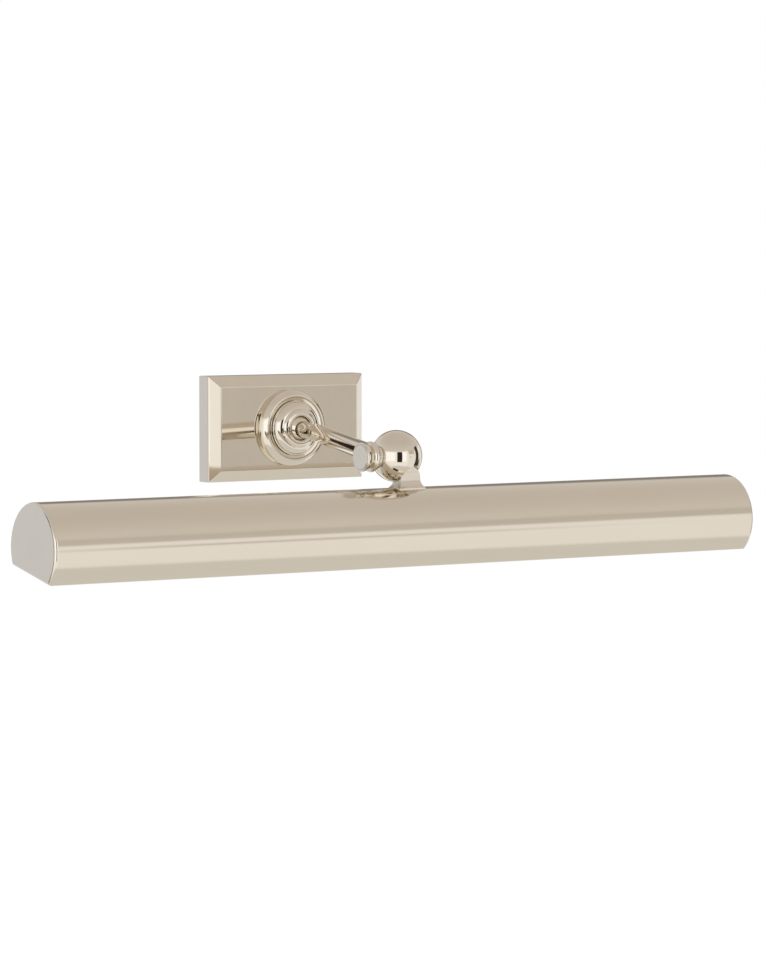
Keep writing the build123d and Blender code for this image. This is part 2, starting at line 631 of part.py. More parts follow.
def screw_shell():
    """Threaded brass sleeve of the lampholder, with its rolled rounds."""
    pitch, low, high = 3.6, 249.0, 277.0
    steps, x = [], low
    while x + pitch < high:
        steps.append(((13.9, x + pitch / 2), (13.5, x + pitch)))
        x += pitch
    return lamp_turned(outline((13.2, low), (13.5, low), *steps, (13.5, high), (13.2, high)))


def centre_contact():
    tab = block((277.4, -3.5, LAMP_Z - 3), (278.0, 3.5, LAMP_Z + 9))
    return tab + lamp_turned(outline((0, 277.05), (2.6, 277.05), (3.4, 277.4), (3.4, 277.6), (0, 277.6)))


def lamp_base():
    pitch, low, high = 3.6, 249.5, 269.0
    steps, x = [], low
    while x + pitch < high:
        steps.append(((13.05, x + pitch / 2), (12.6, x + pitch)))
        x += pitch
    profile = outline((12.0, low - 2.5), (12.6, low - 2.5), (12.6, low), *steps, (12.6, high),
                      (8.0, 273.0), (5.0, 274.2), (4.6, 276.2), ((4.1, 276.8), (2.6, 277.0)), (0, 277.0), (0, 272.0), (7.0, 271.0),
                      (11.8, 267.5), (11.8, low + 2))
    return lamp_turned(profile)


def lamp_glass():
    tip, shoulder, neck = 132.0, 232.0, 251.0
    outer, inner, slant = LAMP_RADIUS, LAMP_RADIUS - GLASS_WALL, math.sqrt(0.5)
    dome = tip + outer
    profile = outline(
        (0, tip), ((outer * slant, dome - outer * slant), (outer, dome)), (outer, shoulder),
        ((outer - 1.0, shoulder + 6), (11.7, neck - 4)), (11.7, neck), (10.9, neck), (10.9, neck - 4),
        ((inner - 1.0, shoulder + 6), (inner, shoulder)), (inner, dome),
        ((inner * slant, dome - inner * slant), (0, tip + GLASS_WALL)))
    return lamp_turned(profile)


def filament():
    """Glass foot of the lamp with its two support wires and the coiled filament."""
    foot = lamp_turned(outline((0, 226), (2.2, 227), (2.6, 240), (6.5, 247), (10.8, 249), (10.8, 250.2), (0, 250.2)))
    supports = rod((148, 0, LAMP_Z + 3.5), (228, 0, LAMP_Z + 1.2), 0.5)
    supports += rod((222, 0, LAMP_Z - 3.5), (228, 0, LAMP_Z - 1.2), 0.5)
    coil = rod((148.2, 0, LAMP_Z + 3.9), (148.2, 0, LAMP_Z - 3.9), 0.6)
    coil += rod((148.2, 0, LAMP_Z - 3.5), (222.4, 0, LAMP_Z - 3.5), 0.6)
    return foot + supports + coil


def export(name, shape):
    export_step(shape, f"parts/{name}.step")


SINGLE_PIECES = {
    "backplate": make_backplate,
    "mounting_strap": make_mounting_strap,
    "strap_bushing": make_strap_bushing,
    "ground_screw": make_ground_screw,
    "plate_screws": make_plate_screws,
    "rosette_ring": make_rosette_ring,
    "rosette_dome": make_rosette_dome,
    "swivel_socket": make_swivel_socket,
    "seat_spring": make_seat_spring,
    "ball_seat": make_ball_seat,
    "swivel_pins": make_swivel_pins,
    "supply_lead": make_supply_lead,
    "swivel_ball": make_swivel_ball,
    "arm_end": make_arm_end,
    "arm_tube": make_arm_tube,
    "arm_lead": make_arm_lead,
    "knuckle_barrel": make_knuckle_barrel,
    "barrel_cap": make_barrel_cap,
    "spring_washer": make_spring_washer,
    "friction_washer": make_friction_washer,
    "pivot_stud": make_pivot_stud,
    "stud_nut": make_stud_nut,
    "shade_ball": make_shade_ball,
    "saddle_lug": make_saddle_lug,
    "lug_screws": make_lug_screws,
    "ball_lead": make_ball_lead,
    "shade_shell": make_shade_shell,
    "wire_grommet": make_wire_grommet,
    "lamp_tray": make_lamp_tray,
    "tray_bosses": make_tray_bosses,
    "tray_screws": make_tray_screws,
    "terminal_block": make_terminal_block,
    "terminal_screws": make_terminal_screws,
    "block_screw": make_block_screw,
    "lamp_lead_right": make_lamp_lead_right,
    "lamp_lead_left": make_lamp_lead_left,
    "lead_clips": make_lead_clips,
}

# Pieces that both ends of the shade have, drawn once and mirrored.
END_PIECES = {
    "end_cap": make_end_cap_right,
    "holder_bracket": holder_bracket,
    "lampholder": lampholder,
    "screw_shell": screw_shell,
    "centre_contact": centre_contact,
    "lamp_base": lamp_base,
    "lamp_glass": lamp_glass,
    "filament": filament,
}

# Small fasteners of both ends, one node for each kind.
END_FASTENERS = {
    "bracket_screws": lambda: [bracket_screw()],
    "bracket_nuts": lambda: [bracket_nut()],
    "holder_screws": holder_screws,
}

os.makedirs("parts", exist_ok=True)
for name, make in SINGLE_PIECES.items():
    export(name, make())
for name, make in END_PIECES.items():
    piece = make()
    export(f"{name}_right", in_shade(piece))
    export(f"{name}_left", in_shade(mirrored(piece)))
for name, make in END_FASTENERS.items():
    pieces = make()
    pieces += [mirrored(piece) for piece in pieces]
    export(name, Compound(children=[in_shade(piece) for piece in pieces]))
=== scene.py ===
"""Looks of the wall picture light: polished nickel, a brushed lug, white enamel inside, clear lamps."""
import json
import math
import bmesh
import bpy
from mathutils import Matrix, Vector


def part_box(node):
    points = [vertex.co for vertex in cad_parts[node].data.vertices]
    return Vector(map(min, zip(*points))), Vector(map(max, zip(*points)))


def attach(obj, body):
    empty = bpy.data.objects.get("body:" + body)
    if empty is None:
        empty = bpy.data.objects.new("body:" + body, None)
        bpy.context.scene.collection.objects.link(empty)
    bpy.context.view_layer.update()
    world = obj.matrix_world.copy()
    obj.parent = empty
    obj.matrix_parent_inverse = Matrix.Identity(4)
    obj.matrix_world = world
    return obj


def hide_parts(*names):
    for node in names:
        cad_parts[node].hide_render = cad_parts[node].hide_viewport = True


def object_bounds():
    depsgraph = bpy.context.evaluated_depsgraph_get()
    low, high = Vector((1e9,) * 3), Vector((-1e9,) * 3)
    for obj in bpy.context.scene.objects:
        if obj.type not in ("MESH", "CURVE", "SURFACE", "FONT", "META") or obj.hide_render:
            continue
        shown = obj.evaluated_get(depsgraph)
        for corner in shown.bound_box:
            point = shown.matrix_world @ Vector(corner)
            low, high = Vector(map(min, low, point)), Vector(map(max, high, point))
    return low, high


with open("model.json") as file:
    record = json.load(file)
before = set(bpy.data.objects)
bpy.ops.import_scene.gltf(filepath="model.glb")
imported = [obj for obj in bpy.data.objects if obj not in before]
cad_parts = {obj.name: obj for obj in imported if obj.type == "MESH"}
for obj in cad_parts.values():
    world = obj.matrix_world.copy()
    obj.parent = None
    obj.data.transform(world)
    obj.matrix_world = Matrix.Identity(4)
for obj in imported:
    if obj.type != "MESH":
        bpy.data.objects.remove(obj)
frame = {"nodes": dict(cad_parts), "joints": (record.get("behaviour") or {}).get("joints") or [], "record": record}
cad_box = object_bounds()
nodes = frame["nodes"]
MM = 0.001
ALONG_X = Vector((1, 0, 0))
OUTWARD = Vector((0, -1, 0))


# ---------------------------------------------------------------- places, read from the frame
def extent(node):
    low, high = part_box(node)
    return (high - low) / MM


joints = {joint["name"]: joint for joint in frame["joints"]}
SWIVEL = Vector(joints["arm_tilt"]["pos_m"])
BALL = Vector(joints["shade_tilt"]["pos_m"])
BALL_RADIUS = extent("shade_ball").z / 2
SEAT_X = (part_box("shade_ball")[0].x - BALL.x) / MM
BARREL_LEFT = (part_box("knuckle_barrel")[0].x - BALL.x) / MM
BARREL_RIGHT = (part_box("knuckle_barrel")[1].x - BALL.x) / MM
SWIVEL_BALL_RADIUS = 11.0
STEM_RADIUS, TUBE_RADIUS, TUBE_BORE = 6.4, 6.6, 5.1
ELBOW = Vector((0, -55.5, -2.4)) * MM
TUBE_END = BALL + Vector((-25.4, 0, 3.6)) * MM
PLATE_SIDE, FACE_OUT, BEVEL = 13.7, extent("backplate").y, 8.3

SHADE_TILT = math.radians(12)
SHADE_RADIUS = extent("shade_shell").y / 2
SHADE_WALL, CAP_THICKNESS = 1.2, extent("end_cap_right").x
SHADE_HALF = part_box("end_cap_right")[1].x / MM
OPENING_HALF_ANGLE = 55.2
shell_low, shell_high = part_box("shade_shell")
SHADE_AXIS = Vector((0, (shell_low.y + shell_high.y) / 2, shell_high.z - SHADE_RADIUS * MM))
SHADE_PLACE = Matrix.Translation(SHADE_AXIS) @ Matrix.Rotation(SHADE_TILT, 4, "X")
LUG_PLACE = Matrix.Translation(SHADE_AXIS + Vector((5.4, -1.6, 0)) * MM)
LUG_HALF_WIDTH, LUG_FOOT_HALF_WIDTH = 8.5, 11.2
LUG_HALF_DEPTH, LUG_FOOT_HALF_DEPTH, LUG_TOP = 4.8, 7.6, 48.3


# ---------------------------------------------------------------- outlines, in millimetres
def arc_through(start, middle, end, steps=16):
    """Points of the arc through three points, without its last point."""
    (ax, ay), (bx, by), (cx, cy) = start, middle, end
    d = 2 * (ax * (by - cy) + bx * (cy - ay) + cx * (ay - by))
    a2, b2, c2 = ax * ax + ay * ay, bx * bx + by * by, cx * cx + cy * cy
    ux = (a2 * (by - cy) + b2 * (cy - ay) + c2 * (ay - by)) / d
    uy = (a2 * (cx - bx) + b2 * (ax - cx) + c2 * (bx - ax)) / d
    radius = math.dist((ax, ay), (ux, uy))
    angles = [math.atan2(y - uy, x - ux) for x, y in (start, middle, end)]
    for index in (1, 2):
        while angles[index] - angles[index - 1] > math.pi:
            angles[index] -= 2 * math.pi
        while angles[index] - angles[index - 1] < -math.pi:
            angles[index] += 2 * math.pi
    first, last = angles[0], angles[2]
    return [(ux + radius * math.cos(first + (last - first) * k / steps),
             uy + radius * math.sin(first + (last - first) * k / steps)) for k in range(steps)]


def outline(start, *moves):
    """Closed outline. A move is an end point, or (point on an arc, end); a third number rounds a corner."""
    points, here = [start], start
    for move in moves:
        if isinstance(move[0], tuple):
            points += arc_through(here, move[0], move[1])[1:] + [move[1]]
            here = move[1]
        else:
            points.append(move)
            here = move[:2]
    return soften(points)


def soften(points, steps=5):
    """Round each corner that carries a radius as its third number."""
    result, count = [], len(points)
    for index, point in enumerate(points):
        if len(point) < 3:
            result.append(point)
            continue
        here = Vector(point[:2])
        before = (Vector(points[index - 1][:2]) - here).normalized()
        after = (Vector(points[(index + 1) % count][:2]) - here).normalized()
        reach = point[2] / math.tan(before.angle(after) / 2)
        start, end = here + before * reach, here + after * reach
        top = here + (before + after).normalized() * (point[2] / math.sin(before.angle(after) / 2) - point[2])
        result += arc_through(tuple(start), tuple(top), tuple(end), steps) + [tuple(end)]
    return result


# ---------------------------------------------------------------- meshes
def new_object(name, vertices, faces):
    mesh = bpy.data.meshes.new(name)
    mesh.from_pydata([tuple(v) for v in vertices], [], faces)
    work = bmesh.new()
    work.from_mesh(mesh)
    bmesh.ops.remove_doubles(work, verts=work.verts, dist=1e-7)
    bmesh.ops.dissolve_degenerate(work, edges=work.edges, dist=1e-8)
    bmesh.ops.recalc_face_normals(work, faces=work.faces)
    work.to_mesh(mesh)
    work.free()
    piece = bpy.data.objects.new(name, mesh)
    bpy.context.scene.collection.objects.link(piece)
    return piece


def shade_smoothly(piece, crease_degrees=32):
    """Smooth shading with real creases kept, and large flats left flat beside their rounded edges."""
    work = bmesh.new()
    work.from_mesh(piece.data)
    for edge in work.edges:
        edge.smooth = edge.calc_face_angle(0) < math.radians(crease_degrees)
    for face in work.faces:
        face.smooth = True
    work.to_mesh(piece.data)
    work.free()
    modifier = piece.modifiers.new("weighted", "WEIGHTED_NORMAL")
    modifier.keep_sharp = True
    return piece


def along(origin, direction):
    """Matrix with its Z axis along a direction, whose units are millimetres."""
    turn = Vector(direction).to_track_quat("Z", "Y").to_matrix().to_4x4()
    return Matrix.Translation(origin) @ turn @ Matrix.Scale(MM, 4)


def lathe(name, profile, origin, direction, steps=144):
    """Solid turned from a closed outline of (radius, distance along the axis) points."""
    place, count = along(origin, direction), len(profile)
    vertices, faces = [], []
    for turn in range(steps):
        angle = 2 * math.pi * turn / steps
        ring = (math.cos(angle), math.sin(angle))
        vertices += [place @ Vector((radius * ring[0], radius * ring[1], z)) for radius, z in profile]
    for turn in range(steps):
        a, b = turn * count, (turn + 1) % steps * count
        for index in range(count):
            after = (index + 1) % count
            if profile[index][0] > 1e-9 or profile[after][0] > 1e-9:
                faces.append((a + index, b + index, b + after, a + after))
    return new_object(name, vertices, faces)


def prism(name, loops, place, ring=False):
    """Solid from loops of equally many (x, y, z) points. A ring joins the last loop to the first."""
    count, vertices, faces = len(loops[0]), [], []
    for loop in loops:
        vertices += [place @ Vector(point) for point in loop]
    for level in range(len(loops) if ring else len(loops) - 1):
        a, b = level * count, (level + 1) % len(loops) * count
        faces += [(a + k, a + (k + 1) % count, b + (k + 1) % count, b + k) for k in range(count)]
    if not ring:
        faces += [tuple(range(count)), tuple(range((len(loops) - 1) * count, len(loops) * count))]
    return new_object(name, vertices, faces)


def boolean(piece, cutter, operation):
    """Apply a boolean and drop the cutter."""
    modifier = piece.modifiers.new("cut", "BOOLEAN")
    modifier.operation, modifier.object, modifier.solver = operation, cutter, "EXACT"
    graph = bpy.context.evaluated_depsgraph_get()
    mesh = bpy.data.meshes.new_from_object(piece.evaluated_get(graph))
    piece.modifiers.clear()
    piece.data = mesh
    bpy.data.objects.remove(cutter)
    return piece


# ---------------------------------------------------------------- materials
def surface(name, colour, roughness, metallic=0.0, tint=0.06, rough_spread=0.03, grain=60.0,
            stretch=(1, 1, 1), bump=0.1, bump_height=0.02, waves=0.0, **sockets):
    """Principled material whose colour, roughness and relief vary with layered noise."""
    made = bpy.data.materials.new(name)
    made.use_nodes = True
    tree = made.node_tree
    shader = tree.nodes["Principled BSDF"]
    shader.inputs["Metallic"].default_value = metallic
    for socket, value in sockets.items():
        shader.inputs[socket.replace("_", " ")].default_value = value
    place = tree.nodes.new("ShaderNodeTexCoord")
    mapping = tree.nodes.new("ShaderNodeMapping")
    mapping.inputs["Scale"].default_value = stretch
    noise = tree.nodes.new("ShaderNodeTexNoise")
    noise.inputs["Scale"].default_value = grain
    noise.inputs["Detail"].default_value = 5.0
    tree.links.new(place.outputs["Object"], mapping.inputs["Vector"])
    tree.links.new(mapping.outputs["Vector"], noise.inputs["Vector"])
    ramp = tree.nodes.new("ShaderNodeValToRGB")
    ramp.color_ramp.elements[0].position, ramp.color_ramp.elements[1].position = 0.3, 0.7
    ramp.color_ramp.elements[0].color = (*[c * (1 - tint) for c in colour], 1)
    ramp.color_ramp.elements[1].color = (*[min(1, c * (1 + tint)) for c in colour], 1)
    tree.links.new(noise.outputs["Fac"], ramp.inputs["Fac"])
    tree.links.new(ramp.outputs["Color"], shader.inputs["Base Color"])
    spread = tree.nodes.new("ShaderNodeMapRange")
    spread.inputs["To Min"].default_value = max(0.0, roughness - rough_spread)
    spread.inputs["To Max"].default_value = roughness + rough_spread
    tree.links.new(noise.outputs["Fac"], spread.inputs["Value"])
    tree.links.new(spread.outputs["Result"], shader.inputs["Roughness"])
    relief = tree.nodes.new("ShaderNodeBump")
    relief.inputs["Strength"].default_value = bump
    relief.inputs["Distance"].default_value = bump_height * MM
    tree.links.new(noise.outputs["Fac"], relief.inputs["Height"])
    tree.links.new(relief.outputs["Normal"], shader.inputs["Normal"])
    if waves:
        slow = tree.nodes.new("ShaderNodeTexNoise")
        slow.inputs["Scale"].default_value = 9.0
        slow.inputs["Detail"].default_value = 1.0
        swell = tree.nodes.new("ShaderNodeBump")
        swell.inputs["Strength"].default_value = 1.0
        swell.inputs["Distance"].default_value = waves * MM
        tree.links.new(place.outputs["Object"], slow.inputs["Vector"])
        tree.links.new(slow.outputs["Fac"], swell.inputs["Height"])
        tree.links.new(swell.outputs["Normal"], relief.inputs["Normal"])
    return made


NICKEL = (0.745, 0.680, 0.580)
MATERIALS = {
    "polished_nickel": surface("polished_nickel", NICKEL, 0.045, 1.0, tint=0.015, rough_spread=0.02, grain=90,
                               bump=0.02, bump_height=0.01, waves=0.12),
    "shade_finish": surface("shade_finish", NICKEL, 0.13, 1.0, tint=0.012, rough_spread=0.02, grain=60,
                            stretch=(0.2, 1, 1), bump=0.02, bump_height=0.01, waves=0.08),
    "satin_nickel": surface("satin_nickel", (0.73, 0.665, 0.57), 0.24, 1.0, tint=0.035, rough_spread=0.05,
                            grain=45, stretch=(1, 2, 22), bump=0.12, bump_height=0.008),
    "white_enamel": surface("white_enamel", (0.88, 0.87, 0.84), 0.28, tint=0.02, rough_spread=0.05, grain=260,
                            bump=0.12, bump_height=0.03),
    "zinc_steel": surface("zinc_steel", (0.60, 0.61, 0.62), 0.33, 1.0, tint=0.12, rough_spread=0.1, grain=180,
                          bump=0.1, bump_height=0.02),
    "green_screw": surface("green_screw", (0.07, 0.30, 0.12), 0.35, 0.4, tint=0.15, grain=300),
    "brass": surface("brass", (0.80, 0.58, 0.26), 0.24, 1.0, tint=0.08, rough_spread=0.08, grain=220),
    "lamp_base_metal": surface("lamp_base_metal", (0.70, 0.70, 0.69), 0.25, 1.0, tint=0.06, rough_spread=0.06,
                               grain=240),
    "cast_socket": surface("cast_socket", (0.52, 0.52, 0.53), 0.45, 1.0, tint=0.1, rough_spread=0.1,
                           grain=500, bump=0.3, bump_height=0.05),
    "spring_steel": surface("spring_steel", (0.35, 0.35, 0.37), 0.3, 1.0, tint=0.1, grain=300),
    "nylon": surface("nylon", (0.82, 0.81, 0.75), 0.42, tint=0.04, grain=320),
    "terminal_plastic": surface("terminal_plastic", (0.84, 0.83, 0.79), 0.4, tint=0.03, grain=420, bump=0.15),
    "tray_paint": surface("tray_paint", (0.87, 0.86, 0.83), 0.3, tint=0.02, rough_spread=0.05, grain=260,
                          bump=0.12),
    "porcelain": surface("porcelain", (0.90, 0.885, 0.84), 0.14, tint=0.02, rough_spread=0.04, grain=120,
                         bump=0.06),
    "lamp_glass": surface("lamp_glass", (0.98, 0.985, 0.98), 0.02, tint=0.01, rough_spread=0.01, grain=40,
                          bump=0.02, waves=0.03, Transmission_Weight=1.0, IOR=1.5),
    "filament": surface("filament", (0.30, 0.29, 0.28), 0.35, 1.0, tint=0.1, grain=600),
    "lead_insulation": surface("lead_insulation", (0.80, 0.79, 0.73), 0.38, tint=0.04, grain=380, bump=0.12),
}


def finish_piece(piece, body, replaced, slot, extra=()):
    """Give a piece its material, its body and the nodes that it stands for."""
    piece.data.materials.clear()
    piece.data.materials.append(MATERIALS[slot])
    for name in extra:
        piece.data.materials.append(MATERIALS[name])
    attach(piece, body)
    if replaced:
        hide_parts(*replaced)
    return piece


# ---------------------------------------------------------------- wall plate and rosette
def rectangle_loop(half_width, half_height, radius, out, corner_steps=6):
    """Rounded rectangle facing the room, with four times as many points as a corner has."""
    points = []
    for quarter, (sx, sz) in enumerate(((1, 1), (-1, 1), (-1, -1), (1, -1))):
        for step in range(corner_steps + 1):
            angle = math.pi / 2 * (quarter + step / corner_steps)
            points.append((sx * (half_width - radius) + radius * math.cos(angle), -out,
                           sz * (half_height - radius) + radius * math.sin(angle)))
    return points


def round_loop(radius, out, corner_steps=6):
    """Circle whose points pair with those of a rounded rectangle."""
    count = 4 * (corner_steps + 1)
    return [(radius * math.cos(2 * math.pi * (k + 0.5) / count), -out,
             radius * math.sin(2 * math.pi * (k + 0.5) / count)) for k in range(count)]


def make_backplate():
    """Hollow plate: rounded outer edge, sloping frame, flat face with the hole for the swivel."""
    half_w, half_h = extent("backplate").x / 2, extent("backplate").z / 2
    rise = FACE_OUT - PLATE_SIDE
    ledge = 0.62
    slope = (BEVEL - ledge, rise)
    rounding = 1.3
    outside = [(0.0, 0.0), (0.0, PLATE_SIDE - rounding - 0.5)]
    for angle in (0, 8, 16, 24, 32, 40, 48, 55, 59):
        outside.append((rounding - rounding * math.cos(math.radians(angle)),
                        PLATE_SIDE - rounding + rounding * math.sin(math.radians(angle))))
    for share in (0.06, 0.3, 0.7, 0.95, 0.985):
        outside.append((ledge + slope[0] * share, PLATE_SIDE - 0.15 + (slope[1] + 0.15) * share))
    outside += [(BEVEL + 0.15, FACE_OUT - 0.02), (BEVEL + 0.5, FACE_OUT)]
    wall, corner, hole_radius = 1.6, 0.5, 15.2
    inside = [(BEVEL + 2, FACE_OUT - wall), (BEVEL + 0.6, FACE_OUT - wall - 0.1), (2.4, PLATE_SIDE - 1.4),
              (wall, PLATE_SIDE - 2), (wall, 0.0)]
    loops = [rectangle_loop(half_w - inset, half_h - inset, corner, out) for inset, out in outside]
    loops += [round_loop(hole_radius, FACE_OUT), round_loop(hole_radius, FACE_OUT - wall)]
    loops += [rectangle_loop(half_w - inset, half_h - inset, corner, out) for inset, out in inside]
    plate = prism("backplate_shell", loops, Matrix.Scale(MM, 4), ring=True)
    finish_piece(shade_smoothly(plate), "wall", ["backplate"], "polished_nickel")


def make_rosette():
    """Turned ring on the plate, and the dome whose mouth holds the swivel ball."""
    base = FACE_OUT
    ring = outline(
        (15.1, base), (29.0, base, 0.2), (29.0, 20.0), ((28.1, 24.4), (25.7, 27.1)),
        ((24.7, 27.65), (23.6, 27.3)), (23.15, 26.5, 0.3), (21.0, 26.1, 0.3), (21.0, 20.5), (15.1, 20.5))
    piece = lathe("rosette_ring_turned", ring, Vector(), OUTWARD)
    finish_piece(shade_smoothly(piece), "wall", ["rosette_ring"], "polished_nickel")
    socket_radius, swivel = SWIVEL_BALL_RADIUS + 0.3, -SWIVEL.y / MM
    lip_out, middle_out, back_out = 33.6, 31.8, 30.0
    lip, middle, back = (math.sqrt(socket_radius ** 2 - (out - swivel) ** 2)
                         for out in (lip_out, middle_out, back_out))
    dome = outline(
        (15.05, 20.5), (20.7, 20.5), (20.7, 26.6), ((20.65, 27.5), (20.0, 28.0)),
        ((18.3, 31.1), (14.9, 33.0)), ((14.65, 33.15), (14.5, 33.5)), ((12.9, 34.8), (10.6, 35.3)),
        ((9.95, 35.4), (9.6, 35.0)), ((9.25, 34.3), (lip, lip_out)), ((middle, middle_out), (back, back_out)),
        (15.05, back_out))
    piece = lathe("rosette_dome_turned", dome, Vector(), OUTWARD)
    finish_piece(shade_smoothly(piece), "wall", ["rosette_dome"], "polished_nickel")


# ---------------------------------------------------------------- arm
def make_swivel_ball():
    """Ball in the rosette's mouth, with the stem that runs to the elbow."""
    direction = (ELBOW - SWIVEL).normalized()
    length = (ELBOW - SWIVEL).length / MM
    neck, lead_hole = math.sqrt(SWIVEL_BALL_RADIUS ** 2 - STEM_RADIUS ** 2), 1.9
    profile = outline(
        (lead_hole, 0.0), (5.1, -9.75), ((SWIVEL_BALL_RADIUS, 0.0), (STEM_RADIUS, neck)), (STEM_RADIUS, 14.0),
        ((5.9, 17.5), (5.6, length)), (lead_hole, length))
    piece = lathe("swivel_ball_and_stem", profile, SWIVEL, direction)
    finish_piece(shade_smoothly(piece), "arm", ["swivel_ball"], "polished_nickel")


def make_arm():
    """Tube with its round end at the elbow, cut off inside the knuckle barrel."""
    direction = (TUBE_END - ELBOW).normalized()
    length = (TUBE_END - ELBOW).length / MM + 10
    slant = TUBE_RADIUS * math.sqrt(0.5)
    profile = outline(
        (0, -TUBE_RADIUS), ((slant, -slant), (TUBE_RADIUS, 0)), (TUBE_RADIUS, length * 0.5),
        (TUBE_RADIUS, length), (TUBE_BORE, length), (TUBE_BORE, 2), (0, 0))
    tube = lathe("arm_tube_drawn", profile, ELBOW, direction)
    work = bmesh.new()
    work.from_mesh(tube.data)
    cut = bmesh.ops.bisect_plane(work, geom=work.verts[:] + work.edges[:] + work.faces[:], plane_co=BALL,
                                 plane_no=OUTWARD, clear_outer=True)
    rims = [item for item in cut["geom_cut"] if isinstance(item, bmesh.types.BMEdge)]
    bmesh.ops.bridge_loops(work, edges=rims)
    bmesh.ops.recalc_face_normals(work, faces=work.faces)
    work.to_mesh(tube.data)
    work.free()
    near, far, reach = BARREL_LEFT + 0.6, BARREL_LEFT - 9, 14
    outside = outline((0, near), (reach, near), (reach, far), (0, far))
    boolean(tube, lathe("past_the_cap", outside, BALL, ALONG_X), "DIFFERENCE")
    finish_piece(shade_smoothly(tube), "arm", ["arm_end", "arm_tube"], "polished_nickel")


def make_barrel():
    """Turned barrel beside the ball, with rings and a bead, and the flat cap in its left end."""
    left, right, stud = BARREL_LEFT, BARREL_RIGHT, 5.05
    profile = outline(
        (9.2, left), (9.8, left, 0.12), ((10.5, left + 0.4), (10.7, left + 1.2)),
        ((10.2, left + 3.2), (8.9, left + 5.9)), (8.9, left + 6.4), ((11.2, -22.5), (8.9, -20.0)),
        (8.9, -19.7), ((9.5, -18.95), (8.9, -18.3)), (8.4, right), (stud, right), (stud, -21.2),
        (7.1, -21.2), (7.1, left + 1.5), (9.2, left + 1.5))
    piece = lathe("knuckle_barrel_turned", profile, BALL, ALONG_X)
    finish_piece(shade_smoothly(piece), "arm", ["knuckle_barrel"], "polished_nickel")
    face = left - 0.25
    cap = outline((0, face), (0.4, face), (4, face), (8.4, face), (8.95, face, 0.25), (9.15, left + 0.3),
                  (9.15, left + 1.5), (0, left + 1.5))
    piece = lathe("barrel_cap_disc", cap, BALL, ALONG_X)
    finish_piece(shade_smoothly(piece), "arm", ["barrel_cap"], "polished_nickel")


# ---------------------------------------------------------------- ball and lug
def lug_outline(half_width, foot_half_width, top, arched):
    """Upright with a flared foot and a square or round top, as seen from the room or from the end."""
    foot_z, flare_z, root_z = 32.4, 38.4, 24.0
    flare = foot_half_width - half_width
    middle = (half_width + flare * 0.27, foot_z + (flare_z - foot_z) * 0.48)
    crown = [((0, top), (-half_width, top - half_width))] if arched else [(-half_width, top)]
    shoulder = top - half_width if arched else top
    return outline((-foot_half_width, root_z), (foot_half_width, root_z), (foot_half_width, foot_z),
                   (middle, (half_width, flare_z)), (half_width, shoulder), *crown, (-half_width, flare_z),
                   ((-middle[0], middle[1]), (-foot_half_width, foot_z)))


def lug_prism(name, profile, low, high, facing):
    """Prism along the room's axis (facing 'y') or along the shade (facing 'x')."""
    if facing == "y":
        loops = [[(x, y, z) for x, z in profile] for y in (low, high)]
    else:
        loops = [[(x, y, z) for y, z in profile] for x in (low, high)]
    return prism(name, loops, LUG_PLACE @ Matrix.Scale(MM, 4))


def make_ball():
    """Ball with its flat seat against the barrel and the pocket that takes the lug."""
    bore, depth, steps = 5, -5, 72
    seat_angle = math.asin(SEAT_X / BALL_RADIUS)
    profile = [(0, depth), (bore, depth), (bore, SEAT_X)]
    for step in range(steps):
        angle = seat_angle + (math.pi / 2 - seat_angle) * step / steps
        profile.append((BALL_RADIUS * math.cos(angle), BALL_RADIUS * math.sin(angle)))
    profile.append((0.0, BALL_RADIUS))
    ball = lathe("shade_ball_turned", profile, BALL, ALONG_X, steps=192)
    gap = 0.3
    room = lug_outline(LUG_HALF_WIDTH + gap, LUG_FOOT_HALF_WIDTH + gap, LUG_TOP + gap, True)
    cutter = lug_prism("pocket", room, LUG_HALF_DEPTH, -40, "y")
    boolean(ball, cutter, "DIFFERENCE")
    finish_piece(shade_smoothly(ball), "shade", ["shade_ball"], "polished_nickel")


def make_lug():
    """Lug between the ball and the shade, its foot cut to the shade's round."""
    front = lug_outline(LUG_HALF_WIDTH, LUG_FOOT_HALF_WIDTH, LUG_TOP, True)
    side = lug_outline(LUG_HALF_DEPTH, LUG_FOOT_HALF_DEPTH, LUG_TOP + 1, False)
    lug = lug_prism("saddle_lug_brushed", front, LUG_FOOT_HALF_DEPTH, -LUG_FOOT_HALF_DEPTH, "y")
    boolean(lug, lug_prism("side", side, -14, 14, "x"), "INTERSECT")
    roof = outline((0, -30), (SHADE_RADIUS, -30), (SHADE_RADIUS, 30), (0, 30))
    boolean(lug, lathe("roof", roof, SHADE_AXIS, ALONG_X, steps=512), "DIFFERENCE")
    finish_piece(shade_smoothly(lug, 25), "shade", ["saddle_lug"], "satin_nickel")


# ---------------------------------------------------------------- shade
def shade_arc(radius, steps):
    """Points round the shade's section, from the room side's edge over the top to the wall side's edge."""
    first, last = -90 + OPENING_HALF_ANGLE, 270 - OPENING_HALF_ANGLE
    return [(radius * math.cos(math.radians(first + (last - first) * k / steps)),
             radius * math.sin(math.radians(first + (last - first) * k / steps))) for k in range(steps + 1)]


